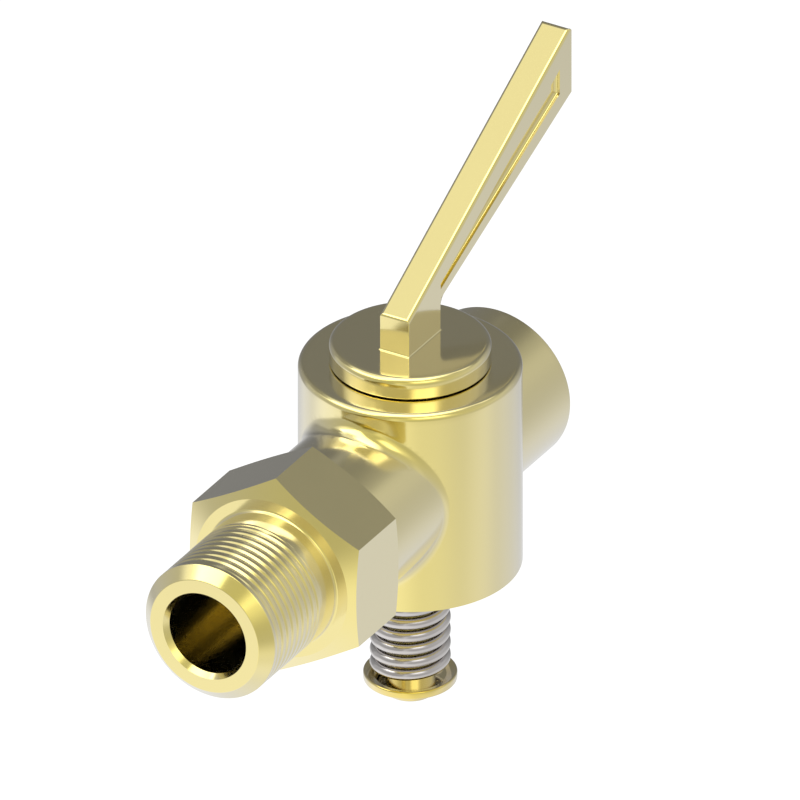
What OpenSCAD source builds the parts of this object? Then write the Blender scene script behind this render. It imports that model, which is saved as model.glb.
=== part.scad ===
// Ground-key drain valve with a lever handle.
// The origin is where the flow axis crosses the key axis. +X runs along the flow to the
// socket end, and +Z runs up the key to the lever. All sizes are in millimetres.

/* [Waterway] */
// Diameter of the straight passage through the body and the key
bore_d = 15.7; // [12:0.1:17]
// Diameter of the countersink at the waterway's mouth
bore_mouth_d = 17.2; // [17.1:0.1:19]
// Length of the countersink at the waterway's mouth
bore_mouth_l = 1.1; // [0.4:0.1:2]

/* [Barrel] */
// Outer diameter of the barrel that holds the key
barrel_d = 40.3; // [39:0.1:46]
// Height of the barrel
barrel_h = 40.4; // [38:0.1:46]
// Round on the barrel's top rim
barrel_edge_r = 1.2; // [0.4:0.1:2]

/* [Pipe bosses] */
// Outer diameter of the bosses on both sides of the barrel
boss_d = 30.2; // [29:0.1:33]
// Radius of the cast blend between the barrel and a boss
blend_r = 3; // [1.5:0.1:3.5]
// Distance from the key axis to the mouth of the socket
socket_reach = 31.2; // [31:0.1:45]
// Diameter at the crests of the socket's pipe thread
socket_d = 23.8; // [20:0.1:25]
// Depth of the socket
socket_depth = 14.4; // [8:0.1:15]
// Diameter of the countersink at the socket's mouth
socket_mouth_d = 27.2; // [26:0.1:28]
// Depth of the countersink at the socket's mouth
socket_mouth_l = 1.2; // [0.5:0.1:2]

/* [Wrench hexagon] */
// Width of the hexagon across its flats
hex_af = 34.4; // [33:0.1:38]
// Distance from the key axis to the hexagon's inner face
hex_start = 33.45; // [27:0.05:40]
// Length of the hexagon along the pipe
hex_l = 16.2; // [8:0.1:18]
// Diameter of the flat ring on each end of the hexagon
hex_ring_d = 31.4; // [30.6:0.1:33]
// Slope of the bevel outside the flat ring, in degrees
hex_bevel = 20; // [5:1:30]

/* [Threaded end] */
// Diameter over the crests of the outer pipe thread
thread_d = 26.67; // [22:0.01:27]
// Length from the hexagon to the end face
thread_l = 24; // [16:0.1:30]
// Length of the bevel at the end face
end_bevel_l = 2.1; // [0.5:0.1:2.5]
// Outer diameter of the flat end face
end_face_d = 22.4; // [20:0.1:24]
// Fillet where the pipe end leaves the hexagon
root_r = 0.45; // [0.2:0.05:1]

/* [Key] */
// Diameter of the key's taper at the top of the barrel
key_d = 28; // [26:0.1:29]
// Key length for each millimetre that its diameter shrinks
key_taper = 7.2; // [6:0.1:10]
// Running clearance between the taper and its seat, measured on the radius
seat_clearance = 0.05; // [0.02:0.01:0.08]
// Height that the taper's small end stays above the barrel's underside
key_end_up = 0.8; // [0.4:0.1:2]
// Diameter of the flat head on top of the taper
head_d = 29.2; // [29.1:0.1:32]
// Height of the head
head_h = 4; // [3:0.1:6]
// Gap under the head, which lets the taper seat before the head does
head_gap = 0.25; // [0.15:0.05:0.6]
// Round on the head's top rim
head_edge_r = 1.2; // [0.4:0.1:1.4]
// Diameter of the stem that runs down through the spring
stem_d = 9; // [8:0.1:9.4]

/* [Lever] */
// Thickness of the lever and its neck
lever_t = 6; // [4:0.1:8]
// Length of the neck along the lever
neck_l = 11.4; // [8:0.1:14]
// Height of the front knee above the head
knee_up = 7.4; // [6:0.1:12]
// Slope of the lever's top face, in degrees
top_slope = 28.9; // [26:0.1:34]
// Height above the head where the underside meets the back of the neck
throat_up = 6.4; // [5:0.1:10]
// Slope of the lever's underside, in degrees
under_slope = 22.5; // [18:0.1:25]
// Distance from the key axis to the lever's tip
lever_reach = 52.6; // [45:0.1:70]
// Round on the upper corner of the tip
tip_r = 0.7; // [0.5:0.1:2]
// Round on the front knee
knee_r = 0.7; // [0.3:0.1:2]
// Round in the throat between the neck and the underside
throat_r = 3; // [1:0.1:5]
// Round along the two upper edges of the lever
lever_edge_r = 0.7; // [0.2:0.1:1]
// Fillet round the foot of the neck
foot_r = 0.6; // [0.3:0.05:0.9]

/* [Lever recess] */
// Depth of the tapering recess in each side of the lever
recess_depth = 0.9; // [0.4:0.1:1.6]
// Height of the recess's pointed end above the underside
recess_start_up = 2; // [1:0.1:3]
// Wall between the recess and the tip
recess_tip_wall = 4.3; // [2:0.1:8]
// Height of the rail above the recess, at its wide end
upper_rail = 4.7; // [3:0.1:5.5]
// Height of the rail below the recess, at its wide end
lower_rail = 3.45; // [2:0.1:4.5]

/* [Spring set] */
// Outer diameter of the thrust washer
washer_d = 29; // [27:0.1:34]
// Thickness of the thrust washer
washer_t = 2; // [1:0.1:3]
// Clearance round the stem inside the washer, measured on the radius
washer_clearance = 0.3; // [0.2:0.05:0.5]
// Outer diameter of the spring
spring_d = 14.6; // [14.2:0.1:16]
// Diameter of the spring wire
wire_d = 2.2; // [1.6:0.05:2.25]
// Pitch of the open coils
coil_pitch = 2.63; // [2.5:0.01:4]
// Distance from the barrel's underside to the floor of the retainer
spring_room = 24.13; // [20:0.01:30]
// Direction in which the spring's lower end points, in degrees round the key axis
spring_end_at = 335; // [0:1:359]
// Outer diameter of the dished retainer
retainer_d = 16.9; // [16.4:0.1:20]
// Diameter of the retainer's flat floor
retainer_floor_d = 13; // [12.8:0.1:15]
// Depth of the dish
dish_h = 0.9; // [0.5:0.1:1.5]
// Thickness of the retainer under its floor
retainer_t = 1.4; // [1:0.1:2]
// Height of the retainer's outer rim
rim_h = 1.62; // [1:0.01:2]
// Shank diameter of the retaining screw
screw_d = 4.8; // [3.5:0.1:5]
// Length of the retaining screw's shank
screw_l = 10; // [6:0.1:12]
// Diameter of the screw's head
screw_head_d = 9.6; // [8:0.1:10.5]
// Height of the screw's head
screw_head_h = 2.1; // [1.5:0.1:4]

/* [Hidden] */
$fn = 96;

// Overlap that keeps joined shapes from sharing a face
bite = 0.5;
// Clearance of the screw in its holes, measured on the radius
screw_clearance = 0.02;
// Depth by which a blend or a fillet dips into the surfaces that it joins
blend_dip = 0.06;
// Gap between the ends of the spring and their seats
spring_gap = 0.05;

bore_r = bore_d / 2;
barrel_r = barrel_d / 2;
barrel_top = barrel_h / 2;
boss_r = boss_d / 2;
hex_end = hex_start + hex_l;
inlet_reach = hex_end + thread_l;
thread_r = thread_d / 2;

head_bottom = barrel_top + head_gap;
head_top = head_bottom + head_h;
key_end = -barrel_top + key_end_up;
retainer_floor = -barrel_top - spring_room;

neck_x = neck_l / 2;
knee_z = head_top + knee_up;
throat_z = head_top + throat_up;
recess_end_x = lever_reach - recess_tip_wall;

// Radius of the key's taper at a height
function key_r(z) = key_d / 2 - (barrel_top - z) / key_taper / 2;

// Height of the lever's top face and of its underside at a distance from the key axis
function top_z(x) = knee_z + (x + neck_x) * tan(top_slope);
function under_z(x) = throat_z + (x - neck_x) * tan(under_slope);

// Centre of a round that touches the top face from below, at a distance from the key axis
function below_top(x, r) = [x, top_z(x) - r / cos(top_slope)];

// Turns the Z axis to +X (side 1) or to -X (side -1)
module along_x(side = 1) {
    rotate([0, 90 * side, 0]) children();
}

// Disc that stands on z = 0 and has a rounded top rim
module rimmed_disc(r, h, edge) {
    rotate_extrude() {
        square([r, h - edge]);
        square([r - edge, h]);
        translate([r - edge, h - edge]) circle(edge);
    }
}

// Ring of triangles that joins closed sections: sections[i] holds the points of section i
function ring_faces(count, size, wrap) = [
    for (i = [0 : count - (wrap ? 1 : 2)], j = [0 : size - 1])
        let (
            a = i * size + j,
            b = i * size + (j + 1) % size,
            c = ((i + 1) % count) * size + (j + 1) % size,
            d = ((i + 1) % count) * size + j
        )
        each [[a, b, c], [a, c, d]]
];

// Blend

// A ball rolls round the boss and touches the barrel as well. Its centre at one angle:
blend_stations = 48;
blend_steps = 5;
blend_ball = [barrel_r, boss_r] + [1, 1] * (blend_r - blend_dip);

function ball_centre(a) =
    let (y = blend_ball[1] * cos(a))
    [sqrt(pow(blend_ball[0], 2) - y * y), y, blend_ball[1] * sin(a)];

// Section of the blend: the ball's arc from the barrel to the boss, and a root inside both
function blend_section(a) =
    let (
        c = ball_centre(a),
        to_barrel = -[c[0], c[1], 0] / blend_ball[0],
        to_boss = [0, -cos(a), -sin(a)],
        turn = acos(to_barrel * to_boss)
    )
    concat(
        [c + (blend_r + 1) * (to_barrel + to_boss)],
        [for (k = [0 : blend_steps])
            let (t = k / blend_steps)
            c + blend_r * (sin((1 - t) * turn) * to_barrel + sin(t * turn) * to_boss) / sin(turn)]
    );

module boss_blend() {
    sections = [for (i = [0 : blend_stations - 1]) blend_section(360 * i / blend_stations)];
    polyhedron(
        points = [for (s = sections) each s],
        faces = ring_faces(blend_stations, blend_steps + 2, true)
    );
}

// Body

// Hexagonal bar with a bevelled ring on both ends, standing on z = 0
module wrench_hexagon() {
    corner_r = hex_af / 2 / cos(30);
    bevel_l = (corner_r - hex_ring_d / 2) * tan(hex_bevel);
    intersection() {
        cylinder(h = hex_l, r = corner_r, $fn = 6);
        rotate_extrude() polygon([
            [0, 0],
            [hex_ring_d / 2, 0],
            [corner_r, bevel_l],
            [corner_r, hex_l - bevel_l],
            [hex_ring_d / 2, hex_l],
            [0, hex_l]
        ]);
    }
}

// Outer pipe end with its bevel and root fillet, standing on the hexagon's face at z = 0
module threaded_end() {
    translate([0, 0, -bite]) cylinder(h = thread_l - end_bevel_l + bite, r = thread_r);
    translate([0, 0, thread_l - end_bevel_l])
        cylinder(h = end_bevel_l, r1 = thread_r, r2 = end_face_d / 2);
    rotate_extrude() difference() {
        translate([thread_r - bite, -bite]) square(root_r + bite);
        translate([thread_r + root_r, root_r]) circle(root_r);
    }
}

module body_outside() {
    translate([0, 0, -barrel_top]) rimmed_disc(barrel_r, barrel_h, barrel_edge_r);
    along_x(1) cylinder(h = socket_reach, r = boss_r);
    along_x(-1) cylinder(h = hex_start + bite, r = boss_r);
    boss_blend();
    mirror([1, 0, 0]) boss_blend();
    translate([-hex_start, 0, 0]) along_x(-1) wrench_hexagon();
    translate([-hex_end, 0, 0]) along_x(-1) threaded_end();
}

// Tapered seat, right through the barrel
module key_seat() {
    translate([0, 0, -barrel_top - bite]) cylinder(
        h = barrel_h + 2 * bite,
        r1 = key_r(-barrel_top - bite) + seat_clearance,
        r2 = key_r(barrel_top + bite) + seat_clearance
    );
}

module waterway() {
    translate([-inlet_reach - bite, 0, 0]) along_x(1)
        cylinder(h = inlet_reach + socket_reach, r = bore_r);
    translate([-inlet_reach, 0, 0]) along_x(1)
        cylinder(h = bore_mouth_l, d1 = bore_mouth_d, d2 = bore_d);
}

module socket() {
    translate([socket_reach - socket_depth, 0, 0]) along_x(1)
        cylinder(h = socket_depth + bite, r = socket_d / 2);
    translate([socket_reach - socket_mouth_l, 0, 0]) along_x(1)
        cylinder(h = socket_mouth_l, r1 = socket_d / 2, r2 = socket_mouth_d / 2);
}

module body() {
    color("goldenrod") difference() {
        body_outside();
        key_seat();
        waterway();
        socket();
    }
}

// Key and lever

// Side view of the neck and the lever, with X along the lever and Y up
module lever_profile() {
    knee = below_top(knee_r - neck_x, knee_r);
    tip = below_top(lever_reach - tip_r, tip_r);
    to_top = [-sin(top_slope), cos(top_slope)];
    throat = [neck_x + throat_r, under_z(neck_x + throat_r) - throat_r / cos(under_slope)];
    polygon([
        [-neck_x, head_top],
        knee - knee_r * [1, 0],
        knee + knee_r * to_top,
        tip + tip_r * to_top,
        tip + tip_r * [1, 0],
        [lever_reach, under_z(lever_reach)],
        [neck_x, throat_z],
        [neck_x, head_top]
    ]);
    translate(knee) circle(knee_r);
    translate(tip) circle(tip_r);
    difference() {
        polygon([
            [neck_x, throat[1]],
            [neck_x - bite, throat_z],
            [neck_x, throat_z + bite],
            throat + throat_r * [-sin(under_slope), cos(under_slope)],
            throat
        ]);
        translate(throat) circle(throat_r);
    }
}

// Side view of the recess: its point is near the neck and its wide end near the tip
module recess_profile() {
    polygon([
        [neck_x, under_z(neck_x) + recess_start_up],
        [recess_end_x, under_z(recess_end_x) + lower_rail],
        [recess_end_x, top_z(recess_end_x) - upper_rail]
    ]);
}

// Cutter that rounds one upper edge of the lever, laid along that edge
module edge_cutter() {
    edge_l = (lever_reach + neck_x) / cos(top_slope) + 2 * bite;
    translate([-neck_x, 0, knee_z]) rotate([0, -top_slope, 0])
        translate([-bite, lever_t / 2, 0]) rotate([90, 0, 90])
            linear_extrude(edge_l) difference() {
                translate([-lever_edge_r, -lever_edge_r]) square(lever_edge_r + bite);
                translate([-lever_edge_r, -lever_edge_r]) circle(lever_edge_r);
            }
}

// Fillet between the neck's foot and the head
module neck_foot() {
    out = foot_r - blend_dip;
    translate([0, 0, head_top]) difference() {
        translate([-neck_x - foot_r, -lever_t / 2 - foot_r, 0])
            cube([neck_l + 2 * foot_r, lever_t + 2 * foot_r, foot_r]);
        for (side = [-1, 1]) {
            translate([side * (neck_x + out), 0, out]) rotate([90, 0, 0])
                cylinder(h = key_d, r = foot_r, center = true);
            translate([0, side * (lever_t / 2 + out), out]) rotate([0, 90, 0])
                cylinder(h = key_d, r = foot_r, center = true);
        }
    }
}

// The lever stands on the head of the key, and is cast in one piece with it
module lever() {
    color("khaki") difference() {
        translate([0, lever_t / 2, 0]) rotate([90, 0, 0]) linear_extrude(lever_t)
            lever_profile();
        for (side = [0, 1]) mirror([0, side, 0]) {
            edge_cutter();
            translate([0, lever_t / 2 + bite, 0]) rotate([90, 0, 0])
                linear_extrude(recess_depth + bite) recess_profile();
        }
    }
    color("khaki") neck_foot();
}

module key() {
    color("khaki") difference() {
        union() {
            translate([0, 0, retainer_floor])
                cylinder(h = key_end - retainer_floor + bite, d = stem_d);
            translate([0, 0, key_end]) cylinder(
                h = barrel_top - key_end, r1 = key_r(key_end), r2 = key_r(barrel_top)
            );
            translate([0, 0, barrel_top - bite])
                cylinder(h = head_gap + 2 * bite, r = key_r(barrel_top - bite));
            translate([0, 0, head_bottom]) rimmed_disc(head_d / 2, head_h, head_edge_r);
        }
        translate([-key_d, 0, 0]) along_x(1) cylinder(h = 2 * key_d, r = bore_r);
        translate([0, 0, retainer_floor - bite])
            cylinder(h = screw_l + bite, r = screw_d / 2 + screw_clearance);
    }
}

// Spring set

module thrust_washer() {
    color("darkgoldenrod") translate([0, 0, -barrel_top - washer_t]) difference() {
        cylinder(h = washer_t, d = washer_d);
        translate([0, 0, -bite])
            cylinder(h = washer_t + 2 * bite, r = stem_d / 2 + washer_clearance);
    }
}

// The spring is wound right-handed. Its top turn is closed, and its lower end bends down
// to the floor of the retainer over a part of a turn.
closed_turns = 0.75;
end_turns = 0.4;
end_slope = 1.32;
coil_steps = 24;
wire_sides = 8;
coil_r = (spring_d - wire_d) / 2;
coil_bottom = retainer_floor + wire_d / 2 + spring_gap;
coil_top = -barrel_top - washer_t - wire_d / 2 - spring_gap;
end_rise = end_turns * end_slope * coil_pitch;
closed_rise = closed_turns * (wire_d + spring_gap);
open_turns = (coil_top - coil_bottom - end_rise - closed_rise) / coil_pitch;
all_turns = end_turns + open_turns + closed_turns;

// Height of the wire's centre after a number of turns from the lower end
function coil_z(t) = coil_bottom
    + min(t, end_turns) * end_slope * coil_pitch
    + max(0, min(t - end_turns, open_turns)) * coil_pitch
    + max(0, t - end_turns - open_turns) * (wire_d + spring_gap);

// Ring of wire points at a number of turns from the lower end
function wire_ring(t) = [
    for (k = [0 : wire_sides - 1])
        let (
            a = spring_end_at + 360 * t,
            b = 360 * k / wire_sides,
            r = coil_r + wire_d / 2 * cos(b)
        )
        [r * cos(a), r * sin(a), coil_z(t) + wire_d / 2 * sin(b)]
];

module spring() {
    count = round(all_turns * coil_steps) + 1;
    rings = [for (i = [0 : count - 1]) wire_ring(all_turns * i / (count - 1))];
    color("silver") polyhedron(
        points = [for (ring = rings) each ring],
        faces = concat(
            ring_faces(count, wire_sides, false),
            [[for (k = [wire_sides - 1 : -1 : 0]) k]],
            [[for (k = [0 : wire_sides - 1]) (count - 1) * wire_sides + k]]
        )
    );
}

// Dished washer: a flat floor, a sloping dish and an upright rim
module spring_retainer() {
    rim_top = dish_h;
    color("gold") translate([0, 0, retainer_floor]) rotate_extrude() polygon([
        [screw_d / 2 + screw_clearance, 0],
        [retainer_floor_d / 2, 0],
        [retainer_d / 2, rim_top],
        [retainer_d / 2, rim_top - rim_h],
        [retainer_floor_d / 2, -retainer_t],
        [screw_d / 2 + screw_clearance, -retainer_t]
    ]);
}

module retaining_screw() {
    head_top_z = retainer_floor - retainer_t;
    color("gold") {
        translate([0, 0, head_top_z]) mirror([0, 0, 1])
            rimmed_disc(screw_head_d / 2, screw_head_h, screw_head_h / 3);
        translate([0, 0, head_top_z - bite])
            cylinder(h = retainer_t + screw_l - 1 + bite, d = screw_d);
    }
}

body();
key();
lever();
thrust_washer();
spring();
spring_retainer();
retaining_screw();
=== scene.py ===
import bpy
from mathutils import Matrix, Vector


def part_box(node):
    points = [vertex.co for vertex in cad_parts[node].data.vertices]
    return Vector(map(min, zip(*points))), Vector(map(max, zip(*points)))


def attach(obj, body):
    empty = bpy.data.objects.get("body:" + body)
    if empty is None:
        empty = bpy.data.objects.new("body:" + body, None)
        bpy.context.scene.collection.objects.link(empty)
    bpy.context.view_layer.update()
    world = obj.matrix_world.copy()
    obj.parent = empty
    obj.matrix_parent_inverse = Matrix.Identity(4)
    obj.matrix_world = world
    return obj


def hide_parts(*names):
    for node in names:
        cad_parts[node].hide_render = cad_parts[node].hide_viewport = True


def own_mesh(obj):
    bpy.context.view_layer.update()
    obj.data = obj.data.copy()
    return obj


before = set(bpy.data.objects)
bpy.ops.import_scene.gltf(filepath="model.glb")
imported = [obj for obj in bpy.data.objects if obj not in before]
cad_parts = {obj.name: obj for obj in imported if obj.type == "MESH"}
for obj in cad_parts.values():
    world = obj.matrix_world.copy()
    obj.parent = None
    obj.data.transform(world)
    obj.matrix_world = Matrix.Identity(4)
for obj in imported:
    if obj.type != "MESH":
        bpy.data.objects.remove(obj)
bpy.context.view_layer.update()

import math
from functools import partial

import bmesh
import bpy
from bpy.props import FloatProperty, FloatVectorProperty, IntProperty, PointerProperty
from bpy.types import Operator, Panel, PropertyGroup
from mathutils import Vector

bl_info = {
    "name": "Ground-key drain valve",
    "version": (1, 0, 0),
    "blender": (4, 5, 0),
    "location": "3D View > Sidebar > Drain valve",
    "description": "Dresses a brass ground-key drain valve and sets it in a light tent",
    "category": "Object",
}

MM = 0.001
ROW = 1 * MM  # longest stretch of a turned face
OVER = 1 * MM  # reach of a cutter or a hidden end past a face
SAME = 0.01 * MM  # distance within which two places count as one

# Places read from the parts in model.glb, all on the axes of the key and of the flow
INLET_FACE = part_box("body")[0].x
SOCKET_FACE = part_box("body")[1].x
BARREL_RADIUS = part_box("body")[1].y
BARREL_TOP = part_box("body")[1].z
HEAD_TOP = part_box("key")[1].z
HEAD_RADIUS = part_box("key")[1].x
DISH_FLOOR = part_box("key")[0].z
LEVER_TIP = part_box("lever")[1].x


# Properties

def length(name, description, millimetres):
    """Size property that is given in millimetres and kept in metres."""
    return FloatProperty(
        name=name, description=description, default=millimetres * MM,
        min=0, unit="LENGTH", precision=5,
    )


def angle(name, description, degrees):
    return FloatProperty(
        name=name, description=description, default=math.radians(degrees), unit="ROTATION"
    )


def share(name, description, value, top=1.0):
    return FloatProperty(
        name=name, description=description, default=value, min=0, max=top, precision=4
    )


def colour(name, description, value):
    return FloatVectorProperty(
        name=name, description=description, default=value,
        min=0, max=1, subtype="COLOR", size=3,
    )


class ValveCastingSizes(PropertyGroup):
    """Sizes of the cast body"""

    barrel_rim: length("Barrel rim", "Round on the barrel's top rim", 1.2)
    boss_radius: length("Boss radius", "Radius of the pipe bosses", 15.1)
    boss_rim: length("Boss rim", "Round on the socket's outer rim", 0.2)
    blend_radius: length("Blend radius", "Cast blend between the barrel and a boss", 3.0)
    blend_dip: length("Blend dip", "Depth by which the blend dips into both surfaces", 0.02)
    bore_radius: length("Bore radius", "Radius of the straight waterway", 7.85)
    seat_small: length("Seat foot radius", "Radius of the tapered seat at the foot", 11.24)
    seat_large: length("Seat top radius", "Radius of the tapered seat at the top", 14.05)
    hex_across: length("Hexagon", "Width of the hexagon across its flats", 34.4)
    hex_inner: length("Hexagon start", "Distance from the key axis to the hexagon", 33.45)
    hex_length: length("Hexagon length", "Length of the hexagon along the pipe", 16.2)
    hex_ring: length("Ring radius", "Radius of the flat ring on the hexagon's ends", 15.7)
    hex_bevel: angle("Hexagon bevel", "Slope of the bevel outside the flat ring", 20)
    socket_depth: length("Socket depth", "Depth of the socket", 14.4)
    socket_wall: length("Socket liner", "Radius of the hole that holds the threaded ring", 13.6)


class ValveThreadSizes(PropertyGroup):
    """Sizes of both pipe threads"""

    crest_radius: length("Crest radius", "Radius over the crests of the outer thread", 13.335)
    pitch: length("Pitch", "Distance from groove to groove", 1.814)
    groove_depth: length("Outer depth", "Depth of the outer thread's grooves", 0.235)
    groove_share: share("Outer groove", "Share of the pitch that the outer groove takes", 0.7)
    first_groove: length("First groove", "Distance from the end face to the first groove", 3.1)
    last_groove: length("Last groove", "Distance from the end face to the last groove", 18.2)
    run_out: length("Run-out", "Length over which a thread fades at its ends", 1.6)
    end_bevel: length("End bevel", "Length of the bevel at the end face", 2.1)
    end_round: length("End round", "Round on both edges of the bevel", 0.2)
    face_radius: length("End face", "Outer radius of the flat end face", 11.2)
    root_fillet: length("Root fillet", "Fillet where the pipe end leaves the hexagon", 0.45)
    mouth_radius: length("Mouth radius", "Radius of the waterway's countersink", 8.6)
    mouth_depth: length("Mouth depth", "Depth of the waterway's countersink", 1.1)
    socket_radius: length("Socket crest", "Radius at the crests of the inner thread", 11.9)
    socket_groove: length("Inner depth", "Depth of the inner thread's grooves", 0.95)
    socket_share: share("Inner groove", "Share of the pitch that the inner groove takes", 0.9)
    socket_mouth: length("Socket mouth", "Depth of the socket's countersink", 1.2)


class ValveKeySizes(PropertyGroup):
    """Sizes of the tapered key"""

    top_radius: length("Taper top", "Radius of the taper at the barrel's top", 14.0)
    foot_radius: length("Taper foot", "Radius of the taper's small end", 11.25)
    foot_up: length("Foot height", "Height of the small end above the barrel's foot", 0.8)
    head_height: length("Head height", "Height of the round head", 4.0)
    head_rim: length("Head rim", "Round on the head's top rim", 1.2)
    head_edge: length("Head edge", "Round on the head's lower rim", 0.25)
    neck_radius: length("Neck radius", "Radius of the groove that is turned under the head", 12.6)
    neck_down: length("Neck depth", "Depth of that groove below the barrel's top", 0.5)
    stem_radius: length("Stem radius", "Radius of the stem that the spring goes round", 4.5)


class ValveLeverSizes(PropertyGroup):
    """Sizes of the lever and its neck"""

    thickness: length("Thickness", "Thickness of the lever and its neck", 6.0)
    neck_half: length("Neck half", "Half the length of the neck along the lever", 5.7)
    knee_up: length("Knee height", "Height of the front knee above the head", 7.4)
    top_slope: angle("Top slope", "Slope of the top face", 28.9)
    throat_up: length("Throat height", "Height of the throat above the head", 6.4)
    under_slope: angle("Lower slope", "Slope of the underside", 22.5)
    edge_round: length("Edge round", "Round along the upper edges and the knee", 0.7)
    tip_round: length("Tip round", "Round at the upper corner of the tip", 0.9)
    side_round: length("Side round", "Small round on the other edges", 0.12)
    throat_round: length("Throat round", "Round in the throat behind the neck", 3.0)
    foot_fillet: length("Foot fillet", "Fillet round the foot of the neck", 0.32)
    foot_spread: length("Foot spread", "Reach of the hidden foot round the neck", 0.47)
    foot_sunk: length("Foot sunk", "Depth of the foot's top in the head", 0.02)
    foot_sheet: length("Foot sheet", "Thickness of the foot", 0.4)
    recess_depth: length("Recess depth", "Depth of the recess in each side", 0.9)
    recess_up: length("Recess start", "Height of the recess's start above the underside", 2.0)
    recess_end: length("Recess end", "Height of the recess's blunt end at the neck", 1.1)
    tip_wall: length("Tip wall", "Wall between the recess and the tip", 4.3)
    upper_rail: length("Upper rail", "Height of the rail above the recess", 4.7)
    lower_rail: length("Lower rail", "Height of the rail below the recess", 3.45)
    floor_fillet: length("Floor fillet", "Fillet round the floor of the recess", 0.6)


class ValveSpringSizes(PropertyGroup):
    """Sizes of the spring and what holds it"""

    wire_radius: length("Wire radius", "Radius of the spring wire", 1.1)
    pitch: length("Coil pitch", "Pitch of the open coils", 2.63)
    closed_turns: share("Closed turns", "Turns that lie close at the top", 0.75, 2)
    end_turns: share("End turns", "Turns over which the lower end bends down", 0.4, 2)
    end_slope: share("End slope", "Pitch of the lower end as a share of the coil pitch", 1.32, 3)
    gap: length("Gap", "Gap between touching turns", 0.05)
    end_at: angle("End direction", "Direction in which the lower end points", 335)
    steps: IntProperty(name="Steps", description="Steps in each turn", default=72, min=12)
    sides: IntProperty(name="Sides", description="Sides of the wire", default=20, min=8)
    edge: length("Edge", "Round on the edges of the turned pieces", 0.3)
    floor_radius: length("Dish floor", "Radius of the dish's flat floor", 6.5)
    dish_depth: length("Dish depth", "Depth of the dish", 0.9)
    rim_height: length("Rim height", "Height of the dish's rim", 1.62)
    dish_thickness: length("Dish thickness", "Thickness under the dish's floor", 1.4)
    screw_radius: length("Screw radius", "Radius of the retaining screw's shank", 2.4)
    screw_gap: length("Screw gap", "Gap between the shank and the hole in the dish", 0.02)
    screw_round: length("Screw round", "Round on the screw's head", 0.7)
    screw_edge: length("Screw edge", "Round on the head's upper edge", 0.15)
    slot_width: length("Slot width", "Width of the screw's slot", 1.2)
    slot_depth: length("Slot depth", "Depth of the screw's slot", 0.9)


class ValveFinish(PropertyGroup):
    """Colours and gloss of the metals"""

    brass: colour("Brass", "Brass seen straight on", (0.87, 0.73, 0.20))
    brass_edge: colour("Brass edge", "Brass seen along the surface", (0.87, 0.86, 0.84))
    gold: colour("Retainer brass", "Deeper brass of the dish and the screw", (0.86, 0.66, 0.10))
    steel: colour("Spring steel", "Drawn steel wire", (0.55, 0.52, 0.50))
    steel_edge: colour("Steel edge", "Steel seen along the surface", (0.8, 0.78, 0.78))
    body_gloss: share("Body roughness", "Roughness of the cast and machined brass", 0.13)
    key_gloss: share("Key roughness", "Roughness of the polished key and lever", 0.10)
    steel_gloss: share("Steel roughness", "Roughness of the spring wire", 0.17)
    clouds: FloatProperty(name="Clouds", description="Clouds in the gloss, per metre", default=120)
    variation: share("Variation", "Share by which the clouds change the roughness", 0.5)
    grain: length("Grain", "Size of the fine grain", 0.25)
    grain_depth: length("Grain depth", "Depth of the fine grain", 0.002)
    relief: share("Relief", "Strength of the grain's relief", 0.4)


class ValveStageSizes(PropertyGroup):
    """Places of the camera, the floor, the tent and the lamp"""

    azimuth: angle("Camera azimuth", "Direction from which the camera looks", -60)
    elevation: angle("Camera elevation", "Height angle of the camera", 30)
    frame_width: length("Frame width", "Width that the camera takes in", 143.11)
    shift_right: FloatProperty(
        name="Aim right", description="Camera's aim, to its right of the origin",
        default=-1.837 * MM, unit="LENGTH", precision=5,
    )
    shift_up: length("Aim up", "Camera's aim above the origin in the picture", 10.39)
    distance: length("Camera distance", "Distance from the aim to the camera", 350)
    floor_down: length("Floor depth", "Depth of the floor below the flow axis", 600)
    floor_size: length("Floor size", "Width of the floor", 4000)
    floor_grey: share("Floor grey", "Brightness of the floor's colour", 0.9)
    floor_glow: share("Floor glow", "Light that the floor adds where it is seen", 0.6)
    sky: share("Sky", "Level of the world where it only lights", 0.5)
    tent_radius: length("Tent radius", "Radius of the light tent", 590)
    lamp_azimuth: angle("Lamp azimuth", "Direction of the lamp round +Z, from +X", -150)
    lamp_elevation: angle("Lamp elevation", "Height angle of the lamp", 60)
    lamp_distance: length("Lamp distance", "Distance from the origin to the lamp", 420)
    lamp_size: length("Lamp size", "Width of the lamp", 300)
    lamp_power: FloatProperty(name="Lamp power", description="Power of the lamp", default=2,
                              min=0, unit="POWER")


# Mesh building

def arc(centre, start, end, steps):
    """Points on the arc round centre that leads from centre + start to centre + end."""
    turn = start.angle(end)
    return [
        centre + (math.sin((1 - k / steps) * turn) * start + math.sin(k / steps * turn) * end)
        / math.sin(turn)
        for k in range(steps + 1)
    ]


def rounded(corners, steps=10):
    """Closed outline through corners (along, out, round), with an arc at each round."""
    points = []
    for i, (along, out, radius) in enumerate(corners):
        here = Vector((along, out))
        if not radius:
            points.append(here)
            continue
        before = (Vector(corners[i - 1][:2]) - here).normalized()
        after = (Vector(corners[(i + 1) % len(corners)][:2]) - here).normalized()
        half = before.angle(after) / 2
        centre = here + (before + after).normalized() * radius / math.sin(half)
        start = here + before * radius / math.tan(half) - centre
        end = here + after * radius / math.tan(half) - centre
        points += arc(centre, start, end, steps)
    return points


def densified(points, step, beyond=-1):
    """The same closed outline with no stretch longer than step, past a radius at least."""
    out = []
    for i, here in enumerate(points):
        after = points[(i + 1) % len(points)]
        parts = max(1, math.ceil((after - here).length / step)) if here.y > beyond else 1
        out += [here.lerp(after, k / parts) for k in range(parts)]
    return out


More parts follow.
